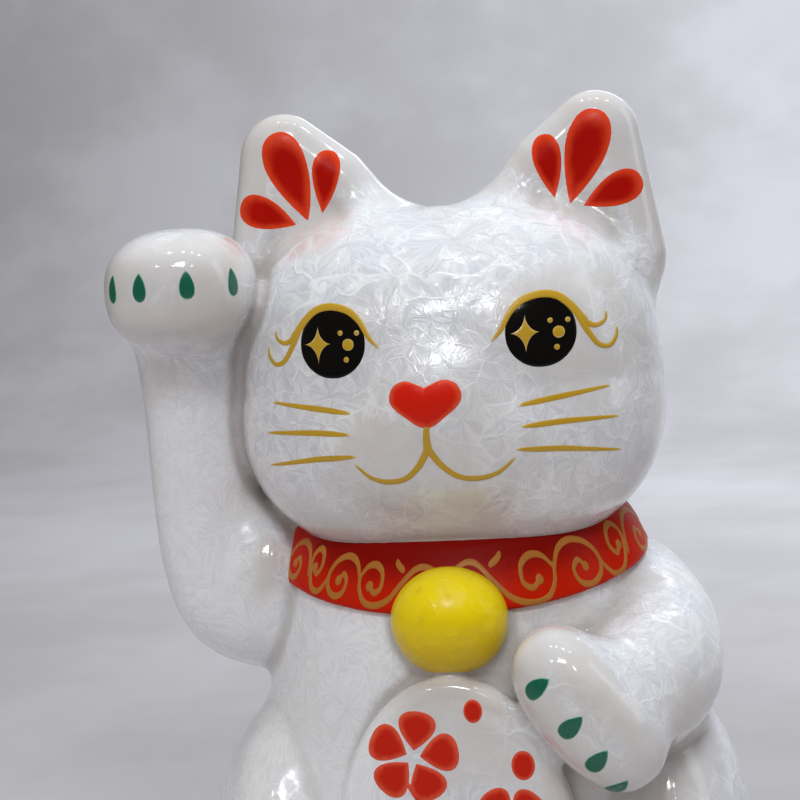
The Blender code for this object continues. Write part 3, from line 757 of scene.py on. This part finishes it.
def enamel(name, body, edge, roughness=0.3, thin_share=0.35, coat=0.15, marks=0.3, specular=0.5, grown=0.0):
    """Brushed overglaze enamel: deeper where it lies thick, showing faint brush marks where it is thin.

    marks is how strong the brush marks are, and grown how far the glaze's crystals stand out through it.
    """
    n = Nodes(name)
    place = n.place()
    strokes = n.noise(n.vector("MULTIPLY", place, (0.9, 0.9, 0.25)), 1.4, 3.0, 0.6)
    blots = n.noise(place, 0.45, 2.0)
    brushed = n.product(n.math("SUBTRACT", strokes, 0.5), marks)
    # on the collar and the bell this thickness carries painted shade and painted light instead
    thick = n.total(n.attribute("load"), brushed, n.product(n.math("SUBTRACT", blots, 0.5), 0.3))
    colour = n.mix(n.ramp(thick, 0.0, thin_share), edge, body)
    n.set(n.shader, {"Base Color": colour, "IOR": 1.52, "Specular IOR Level": specular})
    n.set(n.shader, {"Coat Weight": coat, "Coat Roughness": 0.04})
    n.set(n.shader, {"Roughness": n.ramp(strokes, 0.2, 0.8, roughness * 0.8, roughness * 1.2)})
    height = n.total(n.product(strokes, 0.02 * marks / 0.3), n.product(blots, 0.03))
    if grown:
        found = crystals(n, place)
        lines = n.total(found["line"], n.product(found["needle"], 0.6))
        height = n.total(height, n.product(lines, grown))
    relief = n.bump(height)
    n.set(n.shader, {"Normal": relief, "Coat Normal": relief})
    return n.material


def rubber():
    """Moulded black rubber, a little dusty in patches."""
    n = Nodes("moulded_rubber")
    place = n.place()
    grain = n.noise(place, 2.4, 4.0, 0.6)
    dust = n.ramp(n.noise(place, 0.25, 3.0), 0.45, 0.75)
    n.set(n.shader, {"Base Color": n.mix(dust, rgb(0.018, 0.018, 0.02), rgb(0.07, 0.068, 0.065))})
    n.set(n.shader, {"Roughness": n.ramp(grain, 0.3, 0.7, 0.5, 0.72)})
    n.set(n.shader, {"Normal": n.bump(n.product(grain, 0.03))})
    return n.material


def pale_floor():
    """Pale grey board, slightly clouded."""
    n = Nodes("pale_floor")
    cloud = n.noise(n.place(), 0.004, 4.0, 0.6)
    colour = n.mix(n.ramp(cloud, 0.35, 0.65), rgb(0.38, 0.355, 0.355), rgb(0.46, 0.435, 0.44))
    n.set(n.shader, {"Base Color": colour, "Roughness": 0.6})
    return n.material


# ---- building
CERAMIC = ("torso_shell", "head_shell", "left_ear", "right_ear", "raised_arm", "lowered_arm")
CERAMIC += ("left_haunch", "right_haunch", "left_foot", "right_foot", "tail", "coin_plaque")


def make_casting():
    """The glazed skin: one casting in place of all the ceramic parts."""
    low, high = (-80.0, -70.0, -3.0), (70.0, 62.0, 210.0)
    points, quads = nets(casting, low, high, STEP)
    points[:, 2] = np.maximum(points[:, 2], 0.0)
    reach = 3.2
    bulge = np.zeros(len(points))  # above 0 on outward curves and below 0 in creases
    for axis in np.eye(3):
        bulge += outside(points + axis * reach) + outside(points - axis * reach)
    bulge = (bulge - 6.0 * outside(points)) / reach
    thin = np.clip(bulge * 1.6, 0.0, 1.0)
    # painted shade in the creases, where the glaze also pools
    painted_crease_shade = np.clip((-bulge - 0.3) * 2.0, 0.0, 1.0)
    made = make_object("glazed_casting", points, quads, white_glaze(), {"thin": thin, "painted_crease_shade": painted_crease_shade})
    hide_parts(*CERAMIC)


def make_collar():
    """The red band, darker along its top at the front, where a painted shadow of the chin lies."""
    step = 0.8
    points, quads = nets(collar, (-50.0, -45.0, 92.0), (50.0, 45.0, 128.0), step)
    up = (points[:, 2] - COLLAR_Z) - points[:, 1] * math.tan(math.radians(COLLAR_TILT))
    painted_chin_shadow = np.clip((up + 3.0) / 7.0, 0.0, 1.0) * np.clip(-points[:, 1] / 20.0 - 0.3, 0.0, 1.0)
    # body is the red inside the painted shadow of the chin, and edge the red in light
    body, edge = rgb(0.24, 0.002, 0.0), rgb(0.58, 0.013, 0.0)
    red = enamel("collar_red", body, edge, 0.4, 1.0, coat=0.04, specular=0.08)
    made = make_object("collar", points, quads, red, {"load": painted_chin_shadow})
    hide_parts("collar_band")


def ball(rows, columns):
    """Points and faces of a round ball of radius 1 with its poles on Y."""
    points = []
    for i in range(1, rows):
        up = math.pi * i / rows
        for j in range(columns):
            turn = 2 * math.pi * j / columns
            points.append((math.sin(up) * math.cos(turn), math.cos(up), math.sin(up) * math.sin(turn)))
    points += [(0.0, 1.0, 0.0), (0.0, -1.0, 0.0)]
    faces = []
    for i in range(rows - 2):
        for j in range(columns):
            k = (j + 1) % columns
            faces.append((i * columns + j, i * columns + k, (i + 1) * columns + k, (i + 1) * columns + j))
    last = (rows - 2) * columns
    for j in range(columns):
        k = (j + 1) % columns
        faces.append((len(points) - 2, k, j))
        faces.append((len(points) - 1, last + j, last + k))
    return np.array(points), faces


def make_bell():
    """A closed ball, a little flattened, with the slight flats a thumb leaves before glazing."""
    unit, faces = ball(64, 96)
    swell = 1.0 + 0.006 * np.sin(unit[:, 0] * 4.1 + 0.7) * np.cos(unit[:, 2] * 3.3)
    swell = swell + 0.004 * np.sin(unit[:, 2] * 6.0)
    placed = np.array(BELL_CENTRE) + unit * np.array(BELL_RADII) * swell[:, None]
    # body is the yellow of the painted light over the top, and edge the yellow of the painted shade below
    body, edge = rgb(1.0, 0.76, 0.0), rgb(0.72, 0.48, 0.0)
    yellow = enamel("bell_yellow", body, edge, 0.34, 0.8, coat=0.4, marks=0.1, specular=0.2, grown=0.05)
    # painted light and shade: the yellow is brighter over the bell's top and darker towards its bottom
    made = make_object("bell", placed, faces, yellow, {"load": 0.45 + 0.45 * unit[:, 2]})
    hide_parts("collar_bell")


# places are x and z seen from the front, and those of an eye's lashes, spark and glints are about its middle
EYES = ((-20.6, 154.1, -1), (22.1, 154.2, 1))
EYE_HALF = (7.25, 7.1)
LASH = (
    *((-10.0, -0.9), (-8.0, 1.2), (-6.0, 4.7), (-3.5, 6.9), (0.0, 7.9)),
    *((3.2, 7.5), (5.7, 5.7), (7.8, 3.2), (9.2, 1.7)),
)
UPPER_CURL = ((8.0, 3.1), (9.3, 1.4), (11.2, 0.8), (12.9, 1.8), (13.1, 3.5))
LOWER_CURL = ((6.9, 4.3), (8.0, 2.2), (9.3, -0.2), (11.3, -3.0), (13.5, -3.6), (15.0, -1.8), (15.1, 0.3))
LASHES = (
    (LASH, (0.5, 1.1, 1.5, 1.6, 1.6, 1.7, 1.3), (0.2, ABRUPT)),
    (UPPER_CURL, (1.5, 1.2, 0.8, 0.3), (ABRUPT, 0.3)),
    (LOWER_CURL, (1.3, 1.3, 1.1, 0.9, 0.3), (ABRUPT, 0.3)),
)
SPARK = (-3.1, -0.1)
GLINTS = ((3.5, -0.4, 1.4), (1.9, 2.0, 0.62), (5.4, 1.9, 0.58), (3.0, -3.4, 0.65))
WHISKERS = (
    ((17.0, 139.8), (26.0, 140.9), (35.4, 142.0)),
    ((17.3, 135.6), (27.0, 135.8), (37.0, 135.6)),
    ((16.2, 131.2), (26.0, 130.2), (37.0, 128.6)),
)
MOUTH_X = -1.4  # the mouth's middle line
PHILTRUM = ((-1.3, 137.0), (-1.5, 134.5), (-1.4, 131.2))
MOUTH = ((MOUTH_X, 132.3), (1.0, 128.8), (4.4, 126.3), (8.6, 125.8), (12.6, 126.9), (16.0, 129.7))
RIGHT_MOUTH_SHARE = 0.88  # the mouth is shorter towards the raised arm
NOSE_MIDDLE, NOSE_HALF = (-1.35, 141.2), (7.5, 4.95)


def make_eyes(gold):
    """Black eyes a little narrower below, each with a lash line, two curls, a spark and four dots."""
    black, lashes, inner = Paint(), Paint(), Paint()
    for x, z, side in EYES:
        shape = superoval(*EYE_HALF, 2.2, 80)
        shape[:, 0] *= 1.0 - 0.10 * np.clip(-shape[:, 1] / EYE_HALF[1], 0.0, 1.0) ** 2
        black.blob(shape + (x, z - 0.2), from_front, 0.10, 9, core=0.8)
        for line, widths, fade in LASHES:
            path = [(x + side * u, z + v - 0.5) for u, v in line]
            lashes.stroke(path, widths, from_front, 0.13, 60, fade)
        inner.blob(star(4.2, 4.6, 3.3) + (x + SPARK[0], z + SPARK[1]), from_front, 0.16, 5)
        for u, v, r in GLINTS:
            inner.blob(superoval(r, r, 2.0, 28) + (x + u, z + v), from_front, 0.16, 4)
    body, edge = rgb(0.002, 0.002, 0.002), rgb(0.006, 0.005, 0.005)
    dark = enamel("eye_black", body, edge, 0.16, 0.3, coat=0.2, specular=0.2)
    for piece in (black.build("eyes", dark), lashes.build("lashes", gold), inner.build("eye_glints", gold)):
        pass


def make_face_lines(gold):
    """Whiskers, and the mouth hanging from the nose."""
    lines = Paint()
    for side in (-1, 1):
        for line in WHISKERS:
            lines.stroke([(side * u, v) for u, v in line], (0.5, 1.25, 1.3, 0.9, 0.4), from_front, 0.09, 50)
    lines.stroke(PHILTRUM, (1.2, 1.5, 2.1), from_front, 0.12, 16, (ABRUPT, ABRUPT))
    for line in (MOUTH, [(MOUTH_X - (u - MOUTH_X) * RIGHT_MOUTH_SHARE, v) for u, v in MOUTH]):
        lines.stroke(line, (1.6, 1.4, 1.2, 1.2, 0.9, 0.4), from_front, 0.11, 50, (ABRUPT, 0.2))
    piece = lines.build("whiskers_and_mouth", gold)


def make_nose():
    """A raised red heart."""
    shape = Paint()
    shape.blob(heart(*NOSE_HALF) + NOSE_MIDDLE, from_front, 0.5, 14, core=0.4, power=2.4)
    body, edge = rgb(0.72, 0.014, 0.002), rgb(0.80, 0.10, 0.04)
    red = enamel("nose_red", body, edge, 0.4, 0.4, coat=0.03, specular=0.15)
    piece = shape.build("nose_heart", red)
    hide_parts("nose")


# each petal's point, round end and width, on the left ear
PETALS = (
    ((29.4, 179.6), (36.4, 200.2), 9.6),
    ((26.2, 181.2), (24.2, 195.6), 6.4),
    ((32.2, 179.2), (45.4, 184.6), 7.4),
)


def make_petals():
    """Three red petals fanned out in each ear."""
    shape = Paint()
    for side in (-1, 1):
        for start, end, width in PETALS:
            length = math.dist(start, end)
            tip, head_end = ((side * x + EAR_SHIFTS[side], z) for x, z in (start, end))
            shape.blob(between(drop(length, width), tip, head_end), from_front, 0.10, 9, core=0.35)
    body, edge = rgb(0.46, 0.003, 0.0), rgb(0.80, 0.06, 0.014)
    red = enamel("petal_red", body, edge, 0.35, 0.8, coat=0.03, marks=0.15, specular=0.12)
    shape.build("ear_petals", red)


CLAW_CENTRE, CLAW_REACH = (-55.7, -19.5, 167.0), 17.0
RAISED_CLAWS = ((37.0, 2.9), (13.0, 3.0), (-20.0, 3.2), (-54.0, 3.1))  # degrees round the paw, and width
LOWERED_CLAWS = (  # place, and degrees turned from upright
    ((18.8, -55.6, 87.0), 52.0),
    ((24.6, -58.0, 79.8), 48.0),
    ((29.3, -57.1, 72.9), 42.0),
    ((32.8, -53.0, 67.6), 46.0),
)


def make_claws():
    """Four green drops on each paw."""
    shape = Paint()
    for angle, width in RAISED_CLAWS:
        a = math.radians(angle)
        place = np.array(CLAW_CENTRE) + (-CLAW_REACH * math.sin(a), -CLAW_REACH * math.cos(a), 0.6)
        shape.blob(drop(6.2, width, 0.3) - (0.0, 2.8), at_spot(place), 0.12, 7, core=0.5)
    for place, turn in LOWERED_CLAWS:
        shape.blob(drop(6.4, 3.5, 0.3) - (0.0, 2.9), at_spot(place, turn), 0.12, 7, core=0.5)
    green = enamel("claw_green", rgb(0.002, 0.13, 0.07), rgb(0.28, 0.56, 0.46), 0.3, 0.3, coat=0.15)
    shape.build("claws", green)


# the collar's scroll, as degrees round the neck from the front and millimetres up the band
CURL_DOWN = (
    *((34.9, -2.4), (36.9, 0.9), (40.5, 3.5), (46.0, 4.3), (51.2, 3.0), (53.9, 0.2)),
    *((52.9, -2.8), (48.6, -4.3), (44.2, -3.4), (43.0, -0.9), (45.6, 0.6), (47.6, -0.9)),
)
CURL_UP = (
    *((53.2, 1.0), (55.0, -2.0), (58.4, -4.4), (63.2, -4.2), (66.6, -1.2), (68.0, 2.2)),
    *((65.6, 4.2), (62.0, 3.6), (60.2, 1.0), (62.2, -1.0), (64.6, 0.2)),
)
FIRST_WAVE = (
    *((2.5, 2.4), (7.0, 3.5), (11.0, 2.9), (15.5, 0.0), (20.5, -3.2)),
    *((26.5, -4.7), (32.0, -4.2), (35.6, -1.4), (36.4, 1.6)),
)
FIRST_CURL = ((36.3, 0.6), (33.5, 2.9), (29.2, 3.4), (25.4, 2.0), (24.8, -0.8), (27.6, -2.1), (30.4, -0.9))
FIRST_LEAF = ((14.4, 2.6), (17.4, 3.5), (19.6, 4.6))
SCROLL_TURN = 32.5  # degrees from one pair of curls to the next
SCROLL_DROP = 0.7
SCROLL_WIDTHS = (0.9, 1.25, 1.35, 1.35, 1.25, 1.1)
BELL_EDGE = 14.0  # degrees round the neck
SQUEEZE, SQUASH = 0.73, 0.85  # on the raised arm's side the curls run closer together and lower


def scroll_line(paint, run, mirror, shift=0.0, count=90):
    """One brush line of the scroll. Gives back the place where it ends."""
    path = []
    for angle, up in run:
        angle = angle + shift
        if mirror < 0:
            up = up * SQUASH
            angle = angle if angle < BELL_EDGE else BELL_EDGE + (angle - BELL_EDGE) * SQUEEZE
        path.append((mirror * angle, up - SCROLL_DROP))
    paint.stroke(path, SCROLL_WIDTHS, round_collar, 0.11, count, (0.02, 0.02))
    return path[-1]


def scroll_curl(paint, run, mirror, shift=0.0):
    """A line that rolls up into a spiral with a round end."""
    end = scroll_line(paint, run, mirror, shift)
    paint.blob(superoval(1.3, 0.95, 2.0, 24) + end, round_collar, 0.14, 4, core=0.6)


def make_scroll():
    """A running scroll: a wave with spirals curling off it, from the bell round to the back both ways."""
    paint = Paint()
    for mirror, turns in ((-1, 6), (1, 5)):
        for turn in range(turns):
            scroll_curl(paint, CURL_DOWN, mirror, SCROLL_TURN * turn)
            scroll_curl(paint, CURL_UP, mirror, SCROLL_TURN * turn)
            if turn == 0:
                scroll_line(paint, FIRST_WAVE, mirror)
                scroll_curl(paint, FIRST_CURL, mirror)
                scroll_line(paint, FIRST_LEAF, mirror, count=14)
    body, edge = rgb(0.46, 0.17, 0.024), rgb(0.50, 0.10, 0.01)
    ochre = enamel("scroll_ochre", body, edge, 0.4, 0.3, coat=0.05, specular=0.2)
    paint.build("collar_scroll", ochre, collar)


TWIG = ((6.0, 16.0), (3.0, 27.0), (6.5, 38.0), (1.5, 49.0), (-4.0, 58.0), (-9.0, 66.0))
SHOOTS = (
    (((6.0, 37.0), (11.0, 44.0), (13.5, 53.0)), (1.8, 1.6, 1.0)),
    (((3.0, 28.0), (-5.0, 33.0), (-11.0, 36.0)), (1.8, 1.4, 0.9)),
)
BLOSSOMS = ((-7.5, 71.0, 9.4, 10.0), (11.5, 57.0, 8.2, 40.0), (-11.5, 43.0, 7.0, -15.0))  # x, z, size, tilt
BUDS = ((14.5, 69.0, 3.0), (5.0, 80.0, 2.4), (14.0, 30.0, 2.8))


def make_sprig():
    """A brushed plum sprig on the plaque: a made-up motif of blossoms, buds and a bent twig."""
    paint = Paint()
    paint.stroke(TWIG, (2.4, 2.8, 2.2, 2.0, 1.6, 1.0), from_front, 0.16, 70)
    for shoot, widths in SHOOTS:
        paint.stroke(shoot, widths, from_front, 0.16, 40)
    for x, z, size, tilt in BLOSSOMS:
        for k in range(5):
            a = math.radians(tilt + 72.0 * k)
            way = np.array((math.sin(a), math.cos(a)))
            start, end = np.array((x, z)) + way * size * 0.14, np.array((x, z)) + way * size
            paint.blob(between(drop(size * 0.86, size * 0.82), start, end), from_front, 0.16, 7, core=0.3)
    for x, z, size in BUDS:
        paint.blob(superoval(size * 0.8, size, 2.0, 32) + (x, z), from_front, 0.16, 5, core=0.4)
    body, edge = rgb(0.62, 0.016, 0.003), rgb(0.82, 0.11, 0.05)
    red = enamel("brush_red", body, edge, 0.4, 0.6, coat=0.04, specular=0.15)
    paint.build("plaque_sprig", red)


def make_stopper():
    """The CAD's own stopper, in black rubber."""
    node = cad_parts["base_stopper"]
    look = rubber()
    for slot in node.material_slots:
        slot.material = look


# ---- stage, lamps and camera, placed in metres
FLOOR_WIDE, FLOOR_FRONT, WALL_TOP = 4.0, -3.0, 4.0
SWEEP_START, SWEEP_RADIUS, SWEEP_STEPS = 0.9, 0.6, 24


def make_stage():
    """A pale floor that sweeps up into a wall behind the figure."""
    mesh = bpy.data.meshes.new("floor")
    profile = [(FLOOR_FRONT, 0.0)]
    for k in range(SWEEP_STEPS + 1):
        a = math.radians(90.0 * k / SWEEP_STEPS)
        profile.append((SWEEP_START + SWEEP_RADIUS * math.sin(a), SWEEP_RADIUS - SWEEP_RADIUS * math.cos(a)))
    profile.append((SWEEP_START + SWEEP_RADIUS, WALL_TOP))
    points = [(x, y, z) for y, z in profile for x in (-FLOOR_WIDE, FLOOR_WIDE)]
    faces = [(2 * i, 2 * i + 1, 2 * i + 3, 2 * i + 2) for i in range(len(profile) - 1)]
    mesh.from_pydata(points, [], faces)
    mesh.shade_smooth()
    mesh.materials.append(pale_floor())
    floor = add_object("floor", mesh)


def softbox(name, place, aim, size, energy, colour=(1.0, 1.0, 1.0), shows=True):
    """A rectangular lamp. Where shows is False, it lights the glaze without being mirrored in it."""
    lamp = bpy.data.lights.new(name, "AREA")
    lamp.shape, lamp.size, lamp.size_y = "RECTANGLE", *size
    lamp.energy, lamp.color = energy, colour
    made = add_object(name, lamp)
    made.location = place
    made.rotation_euler = (Vector(aim) - Vector(place)).to_track_quat("-Z", "Y").to_euler()
    made.visible_glossy = shows


# small lamps in two rows, which show as the small glints of a shop's lights
SPARK_ROWS, SPARKS_IN_ROW = ((-0.75, 0.85), (-0.20, 1.25)), 4
SPARK_SPACING, SPARK_STAGGER = 0.24, 0.1
SPARK_SIZE, SPARK_POWER = (0.035, 0.035), 0.30


def make_lights():
    world = bpy.data.worlds.new("studio")
    bpy.context.scene.world = world
    world.use_nodes = True
    sky = world.node_tree.nodes["Background"]
    sky.inputs["Color"].default_value = rgb(0.96, 0.81, 0.69)
    sky.inputs["Strength"].default_value = 0.14
    aim = (0.0, 0.0, 0.12)
    softbox("key", (0.05, -0.80, 1.00), aim, (0.24, 0.16), 3.0, (0.90, 0.95, 1.0))
    softbox("right_strip", (1.00, -0.10, 0.60), aim, (0.30, 0.80), 0.8, (0.92, 0.95, 1.0))
    softbox("left_front", (-1.05, -0.40, 0.60), aim, (0.40, 0.60), 1.6, (1.0, 0.98, 0.97), False)
    softbox("front", (-0.15, -1.10, 0.45), aim, (0.50, 0.30), 1.3, (0.97, 0.98, 1.0), False)
    softbox("top", (0.20, 0.25, 1.15), aim, (0.80, 0.50), 11.5, (0.84, 0.92, 1.0), False)
    softbox("rim", (0.25, 0.90, 0.80), aim, (0.60, 0.08), 0.6, (0.92, 0.96, 1.0))
    softbox("wall", (0.60, 0.30, 0.90), (0.60, 1.50, 0.75), (0.80, 0.40), 27.0, (0.80, 0.90, 1.0), False)
    for row, (y, z) in enumerate(SPARK_ROWS):
        for k in range(SPARKS_IN_ROW):
            x = (k - (SPARKS_IN_ROW - 1) / 2) * SPARK_SPACING + SPARK_STAGGER * row
            softbox(f"spark_{row}_{k}", (x, y, z), aim, SPARK_SIZE, SPARK_POWER)


def make_camera():
    """A camera a little to the figure's left and above it, rolled slightly."""
    turn, rise, roll, reach = math.radians(6.0), math.radians(5.0), math.radians(3.5), 351.0
    lens, sensor = 70.0, 36.0
    off_right, off_up = 0.065, 0.025  # the aim's place off the picture's middle, in picture widths
    aim = np.array((0.0, 0.0, 142.3))
    back = np.array((math.sin(turn) * math.cos(rise), -math.cos(turn) * math.cos(rise), math.sin(rise)))
    right = np.cross(-back, (0.0, 0.0, 1.0))
    right /= np.linalg.norm(right)
    up = np.cross(right, -back)
    right, up = right * math.cos(roll) - up * math.sin(roll), up * math.cos(roll) + right * math.sin(roll)
    focal = lens / sensor
    ahead = -back * focal - right * off_right - up * off_up
    ahead /= np.linalg.norm(ahead)
    right -= ahead * (right @ ahead)
    right /= np.linalg.norm(right)
    up = np.cross(right, ahead)
    data = bpy.data.cameras.new("camera")
    data.lens, data.sensor_width = lens, sensor
    data.clip_start = 0.01
    camera = add_object("camera", data)
    place = (aim + back * reach + ORIGIN) * MM
    matrix = Matrix([[*(right[i], up[i], -ahead[i]), place[i]] for i in range(3)] + [[0.0, 0.0, 0.0, 1.0]])
    camera.matrix_world = matrix
    bpy.context.scene.camera = camera


gold_line = enamel("gold_line", rgb(0.58, 0.345, 0.015), rgb(0.72, 0.58, 0.30), 0.34, 0.35, coat=0.1)
bpy.context.scene.view_settings.view_transform = "Standard"
make_camera()
make_casting()
make_collar()
make_bell()
make_eyes(gold_line)
make_face_lines(gold_line)
make_nose()
make_petals()
make_claws()
make_scroll()
make_sprig()
make_stopper()
make_stage()
make_lights()
